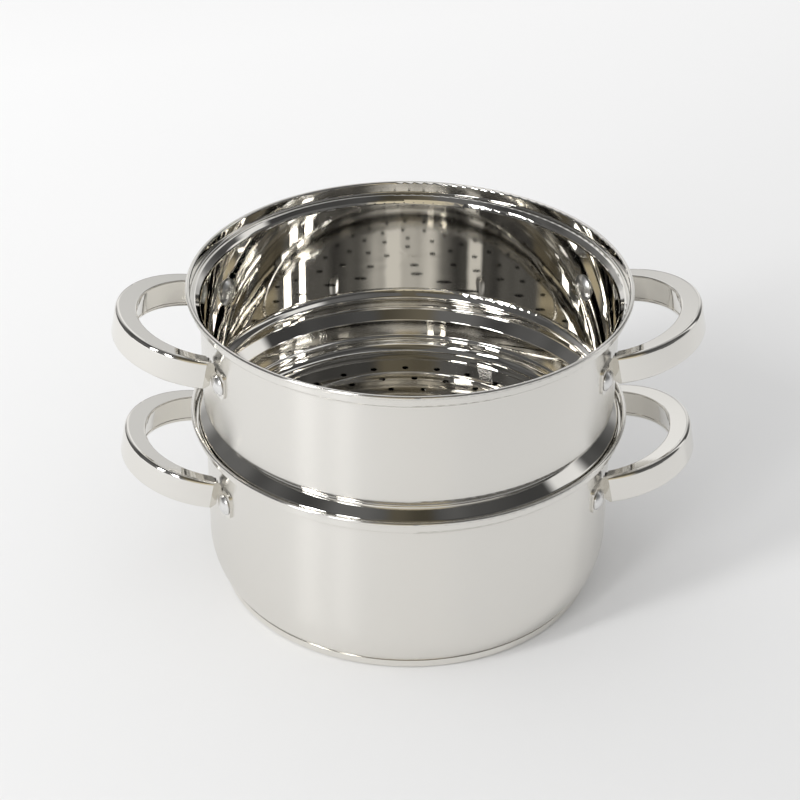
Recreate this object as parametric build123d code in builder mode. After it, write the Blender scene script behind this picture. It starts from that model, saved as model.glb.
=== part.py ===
from build123d import *
import math
import os

# A two-tier steamer pot: a casserole pot with a sandwich base, and a perforated steamer insert
# that stands in the pot's lid seat. The origin is the middle of the base, +Z is up, and the
# handles point along +X and -X.

# Rim that both vessels share: rolled lip, upright band, lid seat
band_radius = 120.0
lip_roll = 1.2
band_depth = 6.8
ledge_width = 2.3
seat_slope = 45.0
band_fillet = 0.8
ledge_fillet = 2.0
seat_fillet = 3.0

# Pot: how far its wall lies inside the ledge, and its foot inside the wall
pot_sheet = 0.7
pot_height = 107.4
pot_seat_width = 4.2
belly_height = 12.2
belly_inset = 9.2
belly_share = 0.86
foot_share = 0.12

# Sandwich base: how far the disc stands out from the pot's foot
cap_sheet = 0.5
core_thickness = 3.0
core_overhang = 1.5
core_corner = 2.2
cap_lap = 1.8
cap_corner = 2.5
cap_clearance = 0.25

# Steamer insert: what stands above the pot's rim, hangs below it and lies in its seat
steamer_sheet = 0.6
steamer_rise = 77.1
steamer_drop = 30.1
steamer_seat_width = 3.3
seat_clearance = 0.3
bulge_setback = 2.5
bulge_height = 3.4
bulge_fillet = 1.6
groove_inset = 5.2
groove_rise = 6.4
groove_fillet = 1.6
wall_foot_rise = 3.4
wall_foot_fillet = 3.4
neck_clearance = 1.3
neck_fillet = 1.5
foot_inset = 3.1
steamer_foot_fillet = 6.4
step_height = 7.7
step_rise = 1.0
step_out = 1.6
step_fillet = 1.1

# Steam holes, in rings from the middle outwards, and the bead pressed between them
hole_diameter = 3.8
hole_ring_count = 7
first_ring_hole_count = 4
first_ring_radius = 12.9
hole_margin = 16.6
ring_turns = (5.0, 2.0, 8.0, 4.0, 7.1, 9.8, 11.7)
bead_inset = 28.3
bead_roundness = 0.7

# Loop handles: a hollow stamped shell that rises outwards, and the liner strip that closes
# its inner side. The finger opening is a circle, and so is the loop's outside.
handle_sheet = 1.0
handle_depth = 21.3
handle_height = 17.5
handle_slope = 11.3
grip_radius = 40.4
grip_setback = 5.5
root_width = 8.0
tip_gain = 3.9
fold_lead = 2.1
fold_turn = 53.0
root_sink = 1.8
outer_top_fillet = 2.4
outer_bottom_fillet = 2.2
grip_top_fillet = 1.2
grip_bottom_fillet = 1.8
liner_top_margin = 4.6
liner_bottom_margin = 2.8
liner_recess = 0.3
liner_sheet = 0.8

# Ears, the riveted ends of the shell
ear_sheet = 1.2
ear_offset = 9.2
ear_width = 16.4
ear_drop = 2.4
ear_slant = 2.0
ear_height = 17.8
ear_corner = 4.0
root_gap = 1.7

# Rivets
rivet_shift = 1.9
rivet_rise = 7.2
shank_diameter = 6.0
shank_clearance = 0.05
outer_head_diameter = 11.8
outer_head_height = 3.0
inner_head_diameter = 15.4
inner_head_height = 3.4
head_edge = 0.5

# How far a cut or a closed end runs on past what it has to clear
overrun = 4.0

# Radii, levels and slopes that follow from the sizes above
slope = math.radians(seat_slope)
ledge_radius = band_radius - ledge_width
pot_wall_radius = ledge_radius - pot_seat_width
pot_outer_radius = pot_wall_radius + pot_sheet
steamer_wall_radius = ledge_radius - steamer_seat_width
steamer_outer_radius = steamer_wall_radius + steamer_sheet
pot_floor_top = cap_sheet + core_thickness + pot_sheet
pot_ledge_height = pot_height - band_depth
steamer_height = pot_height + steamer_rise
steamer_ledge_height = steamer_height - band_depth
steamer_floor_top = pot_height - steamer_drop
loop_radius = grip_radius + root_width
loop_setback = grip_setback - tip_gain
ear_top_depth = handle_depth + ear_drop
ear_bottom_depth = ear_top_depth + ear_height
rivet_depth = ear_bottom_depth - rivet_rise


def seat_height(radius):
    """Height of the pot's sloped lid seat at a radius."""
    return pot_ledge_height - (ledge_radius - radius) * math.tan(slope)


def flank_height(radius):
    """Height of the steamer's inner face where its outer face lies along the pot's seat."""
    return seat_height(radius) + (seat_clearance + steamer_sheet) / math.cos(slope)


def rim_corners(wall_radius, ledge_height, rim_height):
    """Corners of the inner face from the upright wall to the foot of the rolled lip."""
    cone_drop = (ledge_radius - wall_radius) * math.tan(slope)
    return [
        (wall_radius, ledge_height - cone_drop),
        (ledge_radius, ledge_height),
        (band_radius, ledge_height),
        (band_radius, rim_height - lip_roll),
    ]


rim_fillets = [seat_fillet, ledge_fillet, band_fillet]


def vessel(corners, fillets, sheet, rim_height):
    """A spun sheet vessel from the corners of its inner face, with a rolled lip."""
    curl_place = (band_radius + lip_roll, rim_height - lip_roll)
    with BuildPart() as shell:
        with BuildSketch(Plane.XZ):
            with Locations(curl_place):
                Circle(lip_roll)
                Circle(lip_roll - sheet, mode=Mode.SUBTRACT)
                Rectangle(lip_roll, lip_roll, align=(Align.MAX, Align.MAX), mode=Mode.SUBTRACT)
            with BuildLine():
                FilletPolyline(*corners, radius=fillets)
                offset(amount=sheet, side=Side.RIGHT)
            make_face()
        revolve(axis=Axis.Z)
    return shell.part


# Pot body: flat floor, leaning belly curve, upright wall, lid seat, rolled lip
belly_foot_radius = pot_wall_radius - belly_inset
belly_lean = math.atan2(belly_inset, belly_height)
belly_flank = math.hypot(belly_inset, belly_height)
belly_fillet = belly_share * belly_flank / math.tan(belly_lean / 2)
foot_fillet = foot_share * belly_flank / math.tan((math.pi / 2 - belly_lean) / 2)
pot_corners = [
    (0, pot_floor_top),
    (belly_foot_radius, pot_floor_top),
    (pot_wall_radius, pot_floor_top + belly_height),
]
pot_corners += rim_corners(pot_wall_radius, pot_ledge_height, pot_height)
pot_blank = vessel(pot_corners, [foot_fillet, belly_fillet] + rim_fillets, pot_sheet, pot_height)

# Steamer blank: the same rim, with a groove, a seat bulge, a neck and a stepped foot below
bulge_radius = band_radius - bulge_setback
bulge_top = flank_height(bulge_radius) + bulge_height
neck_radius = pot_wall_radius - neck_clearance - steamer_sheet
foot_radius = neck_radius - foot_inset
step_bottom = steamer_floor_top + step_height
steamer_corners = [
    (0, steamer_floor_top),
    (foot_radius, steamer_floor_top),
    (foot_radius, step_bottom),
    (foot_radius + step_out, step_bottom + step_rise),
    (neck_radius, flank_height(neck_radius)),
    (bulge_radius, flank_height(bulge_radius)),
    (bulge_radius, bulge_top),
    (steamer_wall_radius - groove_inset, bulge_top + groove_rise),
    (steamer_wall_radius, bulge_top + groove_rise + wall_foot_rise),
]
steamer_corners += rim_corners(steamer_wall_radius, steamer_ledge_height, steamer_height)
steamer_fillets = [
    steamer_foot_fillet,
    step_fillet,
    step_fillet,
    neck_fillet,
    bulge_fillet,
    bulge_fillet,
    groove_fillet,
    wall_foot_fillet,
]
steamer_blank = vessel(
    steamer_corners, steamer_fillets + rim_fillets, steamer_sheet, steamer_height
)


def drill_plane(angle, height):
    """A plane on the vessel's axis whose normal points out along a rivet."""
    turn = math.radians(angle)
    outwards = (math.cos(turn), math.sin(turn), 0)
    return Plane(origin=(0, 0, height), x_dir=(0, 0, 1), z_dir=outwards)


def ear_angle(wall_radius):
    """Angle of a back ear's middle, from the handle's own direction."""
    return math.degrees(math.asin((grip_radius + ear_offset) / wall_radius))


def rivet_angles(wall_radius):
    """The four rivets of a vessel by name, as angles about its axis."""
    angle = ear_angle(wall_radius) + math.degrees(rivet_shift / wall_radius)
    return {
        "right_front": -angle,
        "right_back": angle,
        "left_front": 180 + angle,
        "left_back": 180 - angle,
    }


def rivet_bores(wall_radius, rim_height):
    """The four rivet holes of a vessel, running out from its axis."""
    with BuildPart() as bores:
        for angle in rivet_angles(wall_radius).values():
            with BuildSketch(drill_plane(angle, rim_height - rivet_depth)):
                Circle(shank_diameter / 2 + shank_clearance)
            extrude(amount=band_radius + overrun)
    return bores.part


with BuildPart() as pot_body:
    add(pot_blank)
    add(rivet_bores(pot_outer_radius, pot_height), mode=Mode.SUBTRACT)

# Steamer body: the blank with the floor's bead and steam holes
last_ring_radius = foot_radius - steamer_foot_fillet - hole_margin
ring_spacing = (last_ring_radius - first_ring_radius) / (hole_ring_count - 1)
with BuildPart() as steamer_body:
    add(steamer_blank)
    with BuildSketch(Plane.XZ):
        with Locations((foot_radius - bead_inset, steamer_floor_top)):
            Circle(bead_roundness)
            Rectangle(
                2 * bead_roundness,
                bead_roundness,
                align=(Align.CENTER, Align.MAX),
                mode=Mode.SUBTRACT,
            )
    revolve(axis=Axis.Z)
    with BuildSketch(Plane.XY.offset(steamer_floor_top + overrun)):
        for ring in range(hole_ring_count):
            ring_radius = first_ring_radius + ring * ring_spacing
            holes = first_ring_hole_count * (ring + 1)
            with PolarLocations(ring_radius, holes, start_angle=ring_turns[ring]):
                Circle(hole_diameter / 2)
    extrude(amount=-2 * overrun, mode=Mode.SUBTRACT)
    add(rivet_bores(steamer_outer_radius, steamer_height), mode=Mode.SUBTRACT)

# Heat disc between the pot's floor and the base cap
core_radius = belly_foot_radius + core_overhang
with BuildPart() as base_core:
    with BuildSketch(Plane.XY.offset(cap_sheet)):
        Circle(core_radius)
    extrude(amount=core_thickness)
    fillet(base_core.faces().sort_by(Axis.Z)[0].edges(), core_corner)

# Base cap: a shallow pan whose edge laps up over the foot of the belly
lap_height = pot_floor_top - pot_sheet + cap_lap
cap_radius = core_radius + cap_clearance + cap_sheet
with BuildPart() as base_cap:
    with BuildSketch(Plane.XZ):
        with BuildLine():
            FilletPolyline(
                (0, 0),
                (cap_radius, 0),
                (cap_radius, lap_height),
                radius=cap_corner,
            )
            offset(amount=cap_sheet, side=Side.LEFT)
        make_face()
    revolve(axis=Axis.Z)


def loop_plane(wall_radius, depth):
    """A plane of the rising loop, a depth under its top face, centred where it meets the wall."""
    rise = math.radians(handle_slope)
    outwards = (math.cos(rise), 0, math.sin(rise))
    upwards = (-math.sin(rise), 0, math.cos(rise))
    top = Plane(origin=(wall_radius, 0, -handle_depth), x_dir=outwards, z_dir=upwards)
    return top.offset(-depth)


def wall_setback(wall_radius):
    """How far the wall lies behind the handle's own side of it, at an ear's near edge."""
    near_edge = grip_radius + ear_offset - ear_width / 2
    return wall_radius - math.sqrt(wall_radius**2 - near_edge**2)


def outer_plan(wall_radius):
    """Plan of the loop's outside, with its ends folded in towards the wall."""
    fold_setback = wall_setback(wall_radius) - fold_lead
    half_turn = math.degrees(math.acos((loop_setback - fold_setback) / loop_radius))
    with BuildSketch() as plan:
        with BuildLine():
            loop = CenterArc((-loop_setback, 0), loop_radius, -half_turn, 2 * half_turn)
            fold = PolarLine(
                loop @ 1,
                fold_lead + root_sink,
                direction=(loop % 1).rotate(Axis.Z, fold_turn),
                length_mode=LengthMode.HORIZONTAL,
            )
            mirror(fold, about=Plane.XZ)
            Line(fold @ 1, ((fold @ 1).X, -(fold @ 1).Y))
        make_face()
    return plan.sketch


def loop_bar(wall_radius, inset):
    """The loop as a bar with rounded edges, or as its hollow when inset by the sheet."""
    base = loop_plane(wall_radius, handle_height - inset)
    height = handle_height - 2 * inset
    upwards = Axis(base.origin, base.z_dir)
    with BuildPart() as bar:
        with BuildSketch(base):
            add(outer_plan(wall_radius))
            if inset:
                offset(amount=-inset, kind=Kind.INTERSECTION)
        extrude(amount=height)
        rims = bar.edges().filter_by(lambda edge: edge.center().X > wall_radius)
        fillet(rims.group_by(upwards)[-1], outer_top_fillet - inset)
        rims = bar.edges().filter_by(lambda edge: edge.center().X > wall_radius)
        fillet(rims.group_by(upwards)[0], outer_bottom_fillet - inset)
        with BuildSketch(base):
            with Locations((-grip_setback, 0)):
                Circle(grip_radius + inset)
        extrude(amount=height, mode=Mode.SUBTRACT)
        if not inset:
            rims = bar.edges(Select.LAST).filter_by(lambda edge: edge.center().X > wall_radius)
            rims = rims.group_by(upwards)
            fillet(rims[-1], grip_top_fillet)
            fillet(rims[0], grip_bottom_fillet)
    return bar.part


def liner_band(wall_radius, near, far):
    """A strip round the finger opening, between two depths into the loop's inner side."""
    with BuildPart() as band:
        with BuildSketch(loop_plane(wall_radius, handle_height - liner_bottom_margin)):
            with Locations((-grip_setback, 0)):
                Circle(grip_radius + far)
                Circle(grip_radius + near, mode=Mode.SUBTRACT)
            with Locations((-wall_setback(wall_radius) - root_sink, 0)):
                Rectangle(
                    2 * loop_radius,
                    2 * loop_radius,
                    align=(Align.MAX, Align.CENTER),
                    mode=Mode.SUBTRACT,
                )
        extrude(amount=handle_height - liner_bottom_margin - liner_top_margin)
    return band.part


def wall_core(radius, depth):
    """A round plug, from the rim's level down to a depth, that ends the loop on a wall."""
    with BuildPart() as core:
        with BuildSketch():
            Circle(radius)
        extrude(amount=-depth)
    return core.part


def ear(wall_radius):
    """The back riveted ear: a rounded tab bent round the vessel's wall."""
    half_width = ear_width / 2
    near_top = -ear_top_depth
    far_top = -ear_top_depth - ear_slant
    turn = math.radians(ear_angle(wall_radius))
    outwards = (math.cos(turn), math.sin(turn), 0)
    sideways = (-math.sin(turn), math.cos(turn), 0)
    with BuildPart() as tab:
        with BuildSketch(Plane(origin=(0, 0, 0), x_dir=sideways, z_dir=outwards)):
            with BuildLine():
                FilletPolyline(
                    (-half_width, near_top),
                    (half_width, far_top),
                    (half_width, -ear_bottom_depth),
                    (-half_width, -ear_bottom_depth),
                    radius=ear_corner,
                    close=True,
                )
            make_face()
        extrude(amount=wall_radius + ear_sheet + overrun)
        with BuildSketch(Plane.XY.offset(-ear_bottom_depth - overrun), mode=Mode.PRIVATE) as ring:
            Circle(wall_radius + ear_sheet)
            Circle(wall_radius, mode=Mode.SUBTRACT)
        extrude(ring.sketch, amount=ear_bottom_depth + overrun, mode=Mode.INTERSECT)
    return tab.part


def handle_shell(wall_radius):
    """The stamped shell of a right handle, measured down from its vessel's rim."""
    ear_face = wall_radius + ear_sheet
    with BuildPart() as shell:
        add(loop_bar(wall_radius, 0))
        add(loop_bar(wall_radius, handle_sheet), mode=Mode.SUBTRACT)
        add(liner_band(wall_radius, 0, handle_sheet + liner_recess), mode=Mode.SUBTRACT)
        add(wall_core(ear_face, ear_bottom_depth), mode=Mode.SUBTRACT)
        add(wall_core(ear_face + root_gap, ear_top_depth), mode=Mode.SUBTRACT)
        add(ear(wall_radius))
        mirror(ear(wall_radius), about=Plane.XZ)
    return shell.part


def handle_liner(wall_radius):
    """The strip that closes the hollow shell along the finger opening."""
    with BuildPart() as liner:
        add(liner_band(wall_radius, liner_recess, liner_recess + liner_sheet))
        add(wall_core(wall_radius + ear_sheet, ear_bottom_depth), mode=Mode.SUBTRACT)
    return liner.part


def rivet(angle, wall_radius, sheet, rim_height):
    """One rivet at its place: wide head inside, shank, low dome on the ear."""
    turn = math.radians(angle)
    outwards = (math.cos(turn), math.sin(turn), 0)
    across = (-math.sin(turn), math.cos(turn), 0)
    origin = (0, 0, rim_height - rivet_depth)
    inner_face = wall_radius - sheet
    inner_head = inner_head_diameter / 2
    outer_head = outer_head_diameter / 2
    inner_seat = math.sqrt(inner_face**2 - inner_head**2)
    outer_seat = wall_radius + ear_sheet
    shank = shank_diameter / 2
    with BuildPart() as pin:
        with BuildSketch(Plane(origin=origin, x_dir=outwards, z_dir=across)):
            with BuildLine():
                inner_dome = TangentArc(
                    (inner_seat - inner_head_height, 0),
                    (inner_seat - head_edge, inner_head),
                    tangent=(0, 1),
                )
                outer_dome = TangentArc(
                    (outer_seat + outer_head_height, 0),
                    (outer_seat + head_edge, outer_head),
                    tangent=(0, 1),
                )
                Polyline(
                    inner_dome @ 1,
                    (inner_seat, inner_head),
                    (inner_seat, shank),
                    (outer_seat, shank),
                    (outer_seat, outer_head),
                    outer_dome @ 1,
                )
                Line(inner_dome @ 0, outer_dome @ 0)
            make_face()
        revolve(axis=Axis(origin, outwards))
    return pin.part


def write(part, name):
    """Labels a finished piece and writes its file."""
    part.label = name
    export_step(part, "parts/" + name + ".step")


def fit_handles(tier, wall_radius, sheet, rim_height):
    """Makes a vessel's two handles, their liners and the four rivets, in place."""
    bores = rivet_bores(wall_radius, rim_height)
    with BuildPart() as right_shell:
        with Locations((0, 0, rim_height)):
            add(handle_shell(wall_radius))
        add(bores, mode=Mode.SUBTRACT)
    with BuildPart() as right_liner:
        with Locations((0, 0, rim_height)):
            add(handle_liner(wall_radius))
    for piece, kind in ((right_shell, "_handle_"), (right_liner, "_handle_liner_")):
        with BuildPart() as left_piece:
            mirror(piece.part, about=Plane.YZ)
        write(piece.part, tier + kind + "right")
        write(left_piece.part, tier + kind + "left")
    for place, angle in rivet_angles(wall_radius).items():
        write(rivet(angle, wall_radius, sheet, rim_height), tier + "_rivet_" + place)


os.makedirs("parts", exist_ok=True)
write(pot_body.part, "pot_body")
write(base_core.part, "base_core")
write(base_cap.part, "base_cap")
write(steamer_body.part, "steamer_body")
fit_handles("pot", pot_outer_radius, pot_sheet, pot_height)
fit_handles("steamer", steamer_outer_radius, steamer_sheet, steamer_height)
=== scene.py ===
import math

import bpy
from mathutils import Matrix, Vector


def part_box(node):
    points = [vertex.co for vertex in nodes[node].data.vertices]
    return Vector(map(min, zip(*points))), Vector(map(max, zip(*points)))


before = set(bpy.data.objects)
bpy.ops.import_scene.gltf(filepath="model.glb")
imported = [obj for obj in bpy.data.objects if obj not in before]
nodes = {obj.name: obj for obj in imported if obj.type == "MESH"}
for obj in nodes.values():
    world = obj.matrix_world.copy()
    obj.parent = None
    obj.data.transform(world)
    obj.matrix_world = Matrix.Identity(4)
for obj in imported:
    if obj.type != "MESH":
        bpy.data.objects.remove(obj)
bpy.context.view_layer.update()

# The photograph's camera, measured from the middle of the steamer's rim
rim_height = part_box("steamer_body")[1][2]
view_turn = math.radians(-2.4)
view_elevation = math.radians(31.774)
view_roll = math.radians(0.534)
view_distance = 1.21784
view_right = 0.004848
view_up = 0.06567
lens_mm = 100.44
sensor_mm = 36.0

# Colours of the metals
steel_tint = (0.81, 0.792, 0.752)
alu_tint = (0.80, 0.80, 0.81)
rivet_tint = (0.78, 0.775, 0.765)

# Roughness of each finish, from its smoothest to its roughest spots
mirror_rough = (0.02, 0.045)
satin_rough = (0.215, 0.235)
polish_rough = (0.04, 0.09)
rivet_rough = (0.24, 0.36)
rolled_rough = (0.3, 0.45)

# Scales of the marks on each finish, per metre
turning_scale = 900.0
polish_scale = 900.0
polish_detail = 3.0
rivet_scale = 1200.0
rolled_scale = 500.0

# Waves of the sheet: how many there are, and how deep they are in metres
wall_wave_scale = 2.5
wall_wave_depth = 0.0002
handle_wave_scale = 30.0
handle_wave_depth = 0.0001
rivet_pit_depth = 0.00002

# How far turning marks stretch a highlight, and their direction as a share of a full turn
turned_stretch = 0.95
quarter_turn = 0.25

# Satin ends at this height on the steamer, and an outer wall's normal times radius is over this
satin_foot = 0.1135
outward_least = 0.02

# The floor: its size, its whiteness under the object, the painted light's change per metre
# (whiter far off and to the left, standing in for the light falling off), and the limits
floor_size = 60.0
floor_level = 0.81
floor_painted_light_along = 0.2
floor_painted_light_across = 0.06
floor_limit = 0.97
floor_least = 0.7
floor_rough = 0.9
floor_grain_scale = 6.0
floor_grain = (0.995, 1.005)

# Light levels: the even light on the floor, then what metal sees round the object
floor_light = 0.8
dark_level = 0.12
backdrop_level = 0.85
room_level = 0.55
room_tint = (1.0, 0.89, 0.66)
window_level = 0.8
white = (1.0, 1.0, 1.0, 1.0)

# Where those levels change, as angles from straight ahead in radians or as shares of height
backdrop_edge = (2.1, 2.75)
room_edge = (0.25, 0.5)
room_top = (0.47, 0.51)
window_near_edge = (1.62, 1.72)
window_far_edge = (1.88, 2.0)

# Uneven patches in the dark room
patch_scale = 2.2
patch_edge = (0.35, 0.65)
patch_levels = (0.45, 1.15)

# Lamps: the point they look at, their height, and each one's place, width and power
lamp_target = (0, 0, 0.1)
lamp_height = 1.7
key_place = (-2.1, -1.4, 1.6)
key_width = 0.35
key_power = 34
second_place = (-1.4, -2.0, 1.35)
second_width = 0.4
second_power = 16


def new_material(name):
    """An empty node material with its Principled shader, and the links to build on."""
    material = bpy.data.materials.new(name)
    material.use_nodes = True
    tree = material.node_tree
    shader = tree.nodes["Principled BSDF"]
    return material, tree, shader


def node(tree, kind, **settings):
    """Adds a shader node with its properties set."""
    made = tree.nodes.new(kind)
    for name, value in settings.items():
        setattr(made, name, value)
    return made


def maths(tree, operation, first, second=None):
    """A Math node on sockets or numbers, returning its output socket."""
    made = node(tree, "ShaderNodeMath", operation=operation)
    for socket, value in zip(made.inputs, (first, second)):
        if value is None:
            continue
        if isinstance(value, (int, float)):
            socket.default_value = value
        else:
            tree.links.new(value, socket)
    return made.outputs[0]


def cylinder_coordinates(tree):
    """Angle about the vessel's axis, radius and height of a point, as sockets."""
    place = node(tree, "ShaderNodeTexCoord")
    split = node(tree, "ShaderNodeSeparateXYZ")
    tree.links.new(place.outputs["Object"], split.inputs[0])
    x, y, z = split.outputs
    angle = maths(tree, "ARCTAN2", y, x)
    across = maths(tree, "MULTIPLY", x, x)
    along = maths(tree, "MULTIPLY", y, y)
    radius = maths(tree, "SQRT", maths(tree, "ADD", across, along))
    return angle, radius, z


def vector(tree, x, y, z):
    """Joins three sockets or numbers into a vector."""
    made = node(tree, "ShaderNodeCombineXYZ")
    for socket, value in zip(made.inputs, (x, y, z)):
        if isinstance(value, (int, float)):
            socket.default_value = value
        else:
            tree.links.new(value, socket)
    return made.outputs[0]


def noise(tree, place, scale, detail=2.0):
    """A noise texture's value at a vector."""
    made = node(tree, "ShaderNodeTexNoise")
    made.inputs["Scale"].default_value = scale
    made.inputs["Detail"].default_value = detail
    tree.links.new(place, made.inputs["Vector"])
    return made.outputs["Fac"]


def ranged(tree, value, levels):
    """Maps a 0 to 1 value between two levels."""
    low, high = levels
    made = node(tree, "ShaderNodeMapRange")
    made.inputs["To Min"].default_value = low
    made.inputs["To Max"].default_value = high
    tree.links.new(value, made.inputs["Value"])
    return made.outputs[0]


def ramp(tree, value, edge, levels):
    """A smooth step between two levels, where a value crosses an edge."""
    made = node(tree, "ShaderNodeMapRange", interpolation_type="SMOOTHSTEP")
    for name, level in zip(("From Min", "From Max", "To Min", "To Max"), (*edge, *levels)):
        made.inputs[name].default_value = level
    tree.links.new(value, made.inputs["Value"])
    return made.outputs[0]


def bump(tree, height, distance):
    """A bump of a real depth in metres."""
    made = node(tree, "ShaderNodeBump")
    made.inputs["Strength"].default_value = 1.0
    made.inputs["Distance"].default_value = distance
    tree.links.new(height, made.inputs["Height"])
    return made.outputs[0]


def new_metal(name, tint):
    """A metal of one tint, with the links to build its finish on."""
    material, tree, shader = new_material(name)
    shader.inputs["Metallic"].default_value = 1.0
    shader.inputs["Base Color"].default_value = (*tint, 1.0)
    return material, tree, shader


def turned_tangent(tree, shader):
    """Stretches highlights along the vessel's height, as fine turning marks do."""
    tangent = node(tree, "ShaderNodeTangent", direction_type="RADIAL", axis="Z")
    tree.links.new(tangent.outputs[0], shader.inputs["Tangent"])
    shader.inputs["Anisotropic"].default_value = turned_stretch
    shader.inputs["Anisotropic Rotation"].default_value = quarter_turn


def polished_steel(name):
    """Mirror polished stainless steel: faint waves of the sheet and fine polishing marks."""
    material, tree, shader = new_metal(name, steel_tint)
    place = node(tree, "ShaderNodeTexCoord").outputs["Object"]
    marks = noise(tree, place, polish_scale, polish_detail)
    tree.links.new(ranged(tree, marks, polish_rough), shader.inputs["Roughness"])
    waves = noise(tree, place, handle_wave_scale, 0.0)
    tree.links.new(bump(tree, waves, handle_wave_depth), shader.inputs["Normal"])
    return material


def satin_share(tree, lowest):
    """One on outer walls above a height, zero on mirror polished faces."""
    coordinates = node(tree, "ShaderNodeTexCoord")
    normal = node(tree, "ShaderNodeSeparateXYZ")
    tree.links.new(coordinates.outputs["Normal"], normal.inputs[0])
    spot = node(tree, "ShaderNodeSeparateXYZ")
    tree.links.new(coordinates.outputs["Object"], spot.inputs[0])
    along_x = maths(tree, "MULTIPLY", normal.outputs[0], spot.outputs[0])
    along_y = maths(tree, "MULTIPLY", normal.outputs[1], spot.outputs[1])
    facing = maths(tree, "ADD", along_x, along_y)
    outward = maths(tree, "GREATER_THAN", facing, outward_least)
    high = maths(tree, "GREATER_THAN", spot.outputs[2], lowest)
    return maths(tree, "MULTIPLY", outward, high)


def vessel_steel(name, lowest):
    """A vessel's sheet: mirror polished inside and on the rim, soft satin on the outer wall."""
    material, tree, shader = new_metal(name, steel_tint)
    angle, radius, height = cylinder_coordinates(tree)
    turned_tangent(tree, shader)
    lines = vector(tree, angle, maths(tree, "MULTIPLY", height, turning_scale), radius)
    marks = noise(tree, lines, 1.0)
    rough = node(tree, "ShaderNodeMix")
    tree.links.new(satin_share(tree, lowest), rough.inputs["Factor"])
    tree.links.new(ranged(tree, marks, mirror_rough), rough.inputs["A"])
    tree.links.new(ranged(tree, marks, satin_rough), rough.inputs["B"])
    tree.links.new(rough.outputs["Result"], shader.inputs["Roughness"])
    turn = vector(tree, maths(tree, "COSINE", angle), maths(tree, "SINE", angle), height)
    waves = noise(tree, turn, wall_wave_scale, 0.0)
    tree.links.new(bump(tree, waves, wall_wave_depth), shader.inputs["Normal"])
    return material


def rivet_steel(name):
    """Tumbled rivets: a soft grey sheen with fine pits."""
    material, tree, shader = new_metal(name, rivet_tint)
    place = node(tree, "ShaderNodeTexCoord").outputs["Object"]
    grain = noise(tree, place, rivet_scale)
    tree.links.new(ranged(tree, grain, rivet_rough), shader.inputs["Roughness"])
    tree.links.new(bump(tree, grain, rivet_pit_depth), shader.inputs["Normal"])
    return material


def rolled_aluminium(name):
    """The hidden heat disc."""
    material, tree, shader = new_metal(name, alu_tint)
    place = node(tree, "ShaderNodeTexCoord").outputs["Object"]
    grain = noise(tree, place, rolled_scale)
    tree.links.new(ranged(tree, grain, rolled_rough), shader.inputs["Roughness"])
    return material


polished = polished_steel("polished_steel")
rivets = rivet_steel("rivet_steel")
finishes = {
    "pot_body": vessel_steel("pot_steel", 0.0),
    "steamer_body": vessel_steel("steamer_steel", satin_foot),
    "base_core": rolled_aluminium("rolled_aluminium"),
}
for name, piece in nodes.items():
    material = finishes.get(name, rivets if "_rivet_" in name else polished)
    if not piece.data.materials:
        piece.data.materials.append(material)
    for place in piece.material_slots:
        place.material = material


def add_floor():
    """A plain pale floor under the object, with painted light: its colour is a little whiter
    far off and to the left, standing in for the light falling off across it.
    """
    bpy.ops.mesh.primitive_plane_add(size=floor_size, location=(0, 0, 0))
    floor = bpy.context.object
    floor.name = "floor"
    material, tree, shader = new_material("floor_white")
    place = node(tree, "ShaderNodeTexCoord").outputs["Object"]
    split = node(tree, "ShaderNodeSeparateXYZ")
    tree.links.new(place, split.inputs[0])
    # Painted light: the floor's colour grows whiter far off and to the left, standing in for
    # the light's fall-off
    across = maths(tree, "MULTIPLY", split.outputs[0], -floor_painted_light_across)
    along = maths(tree, "MULTIPLY", split.outputs[1], floor_painted_light_along)
    level = maths(tree, "ADD", maths(tree, "ADD", across, along), floor_level)
    level = maths(tree, "MINIMUM", level, floor_limit)
    level = maths(tree, "MAXIMUM", level, floor_least)
    grain = ranged(tree, noise(tree, place, floor_grain_scale), floor_grain)
    level = maths(tree, "MULTIPLY", level, grain)
    tree.links.new(vector(tree, level, level, level), shader.inputs["Base Color"])
    shader.inputs["Roughness"].default_value = floor_rough
    floor.data.materials.append(material)


def add_strip_light(name, place, width, power):
    """A tall soft light that looks at the object."""
    data = bpy.data.lights.new(name, "AREA")
    data.shape = "RECTANGLE"
    data.size = width
    data.size_y = lamp_height
    data.energy = power
    lamp = bpy.data.objects.new(name, data)
    bpy.context.collection.objects.link(lamp)
    lamp.location = place
    look = Vector(lamp_target) - Vector(place)
    lamp.rotation_euler = look.to_track_quat("-Z", "Y").to_euler()


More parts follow.
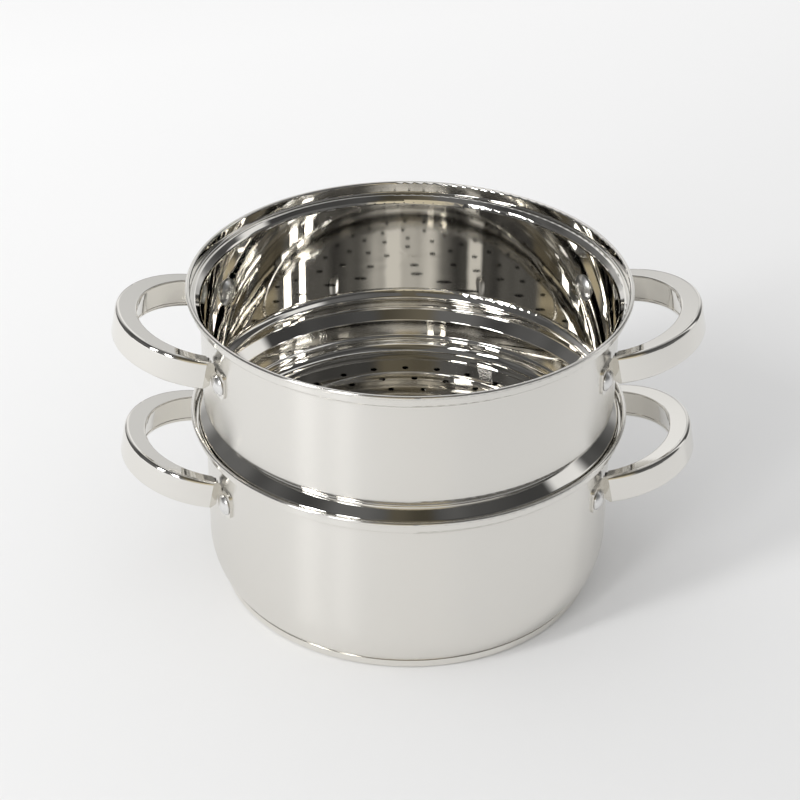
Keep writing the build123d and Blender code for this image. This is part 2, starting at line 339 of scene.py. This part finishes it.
def add_world():
    """Even light on the floor; metal sees a pale backdrop behind and a dark room in front."""
    world = bpy.data.worlds.new("studio")
    bpy.context.scene.world = world
    world.use_nodes = True
    tree = world.node_tree
    background = tree.nodes["Background"]
    direction = node(tree, "ShaderNodeTexCoord").outputs["Generated"]
    split = node(tree, "ShaderNodeSeparateXYZ")
    tree.links.new(direction, split.inputs[0])
    across, depth, lift = split.outputs
    # Angle round the object: 0 in front of it, half a turn behind it
    side = maths(tree, "ARCTAN2", across, maths(tree, "MULTIPLY", depth, -1.0))
    turn = maths(tree, "ABSOLUTE", side)
    # The pale backdrop and the dark room, with its uneven patches
    backdrop = ramp(tree, turn, backdrop_edge, (dark_level, backdrop_level))
    patches = ramp(tree, noise(tree, direction, patch_scale, 1.0), patch_edge, patch_levels)
    walls = maths(tree, "MULTIPLY", backdrop, patches)
    # The warm wall in front
    ahead = ramp(tree, turn, room_edge, (1.0, 0.0))
    below = ramp(tree, lift, room_top, (1.0, 0.0))
    room = maths(tree, "MULTIPLY", maths(tree, "MULTIPLY", ahead, below), room_level)
    # A window on the right
    near_side = ramp(tree, side, window_near_edge, (0.0, window_level))
    far_side = ramp(tree, side, window_far_edge, (1.0, 0.0))
    window = maths(tree, "MULTIPLY", near_side, far_side)
    seen = maths(tree, "ADD", maths(tree, "ADD", walls, room), window)
    tint = node(tree, "ShaderNodeMix", data_type="RGBA")
    tree.links.new(ahead, tint.inputs["Factor"])
    tint.inputs["A"].default_value = white
    tint.inputs["B"].default_value = (*room_tint, 1.0)
    glossy = node(tree, "ShaderNodeLightPath").outputs["Is Glossy Ray"]
    level = node(tree, "ShaderNodeMix")
    tree.links.new(glossy, level.inputs["Factor"])
    level.inputs["A"].default_value = floor_light
    tree.links.new(seen, level.inputs["B"])
    colour = node(tree, "ShaderNodeMix", data_type="RGBA")
    tree.links.new(glossy, colour.inputs["Factor"])
    colour.inputs["A"].default_value = white
    tree.links.new(tint.outputs["Result"], colour.inputs["B"])
    tree.links.new(level.outputs["Result"], background.inputs["Strength"])
    tree.links.new(colour.outputs["Result"], background.inputs["Color"])


def add_camera():
    """The photograph's camera: its place, its small roll and its framing."""
    right = Vector((1, 0, 0))
    up = Vector((0, math.sin(view_elevation), math.cos(view_elevation)))
    forward = Vector((0, math.cos(view_elevation), -math.sin(view_elevation)))
    place = -(right * view_right + up * view_up + forward * view_distance)
    rolled_right = math.cos(view_roll) * right + math.sin(view_roll) * up
    rolled_up = math.cos(view_roll) * up - math.sin(view_roll) * right
    turn = Matrix((rolled_right, rolled_up, -forward)).transposed().to_4x4()
    data = bpy.data.cameras.new("camera")
    data.lens = lens_mm
    data.sensor_width = sensor_mm
    camera = bpy.data.objects.new("camera", data)
    bpy.context.collection.objects.link(camera)
    raised = Matrix.Translation((0, 0, rim_height))
    turned = Matrix.Rotation(view_turn, 4, "Z")
    camera.matrix_world = raised @ turned @ Matrix.Translation(place) @ turn
    bpy.context.scene.camera = camera


add_floor()
add_world()
add_strip_light("key", key_place, key_width, key_power)
add_strip_light("second", second_place, second_width, second_power)
add_camera()
bpy.context.scene.view_settings.view_transform = "Standard"
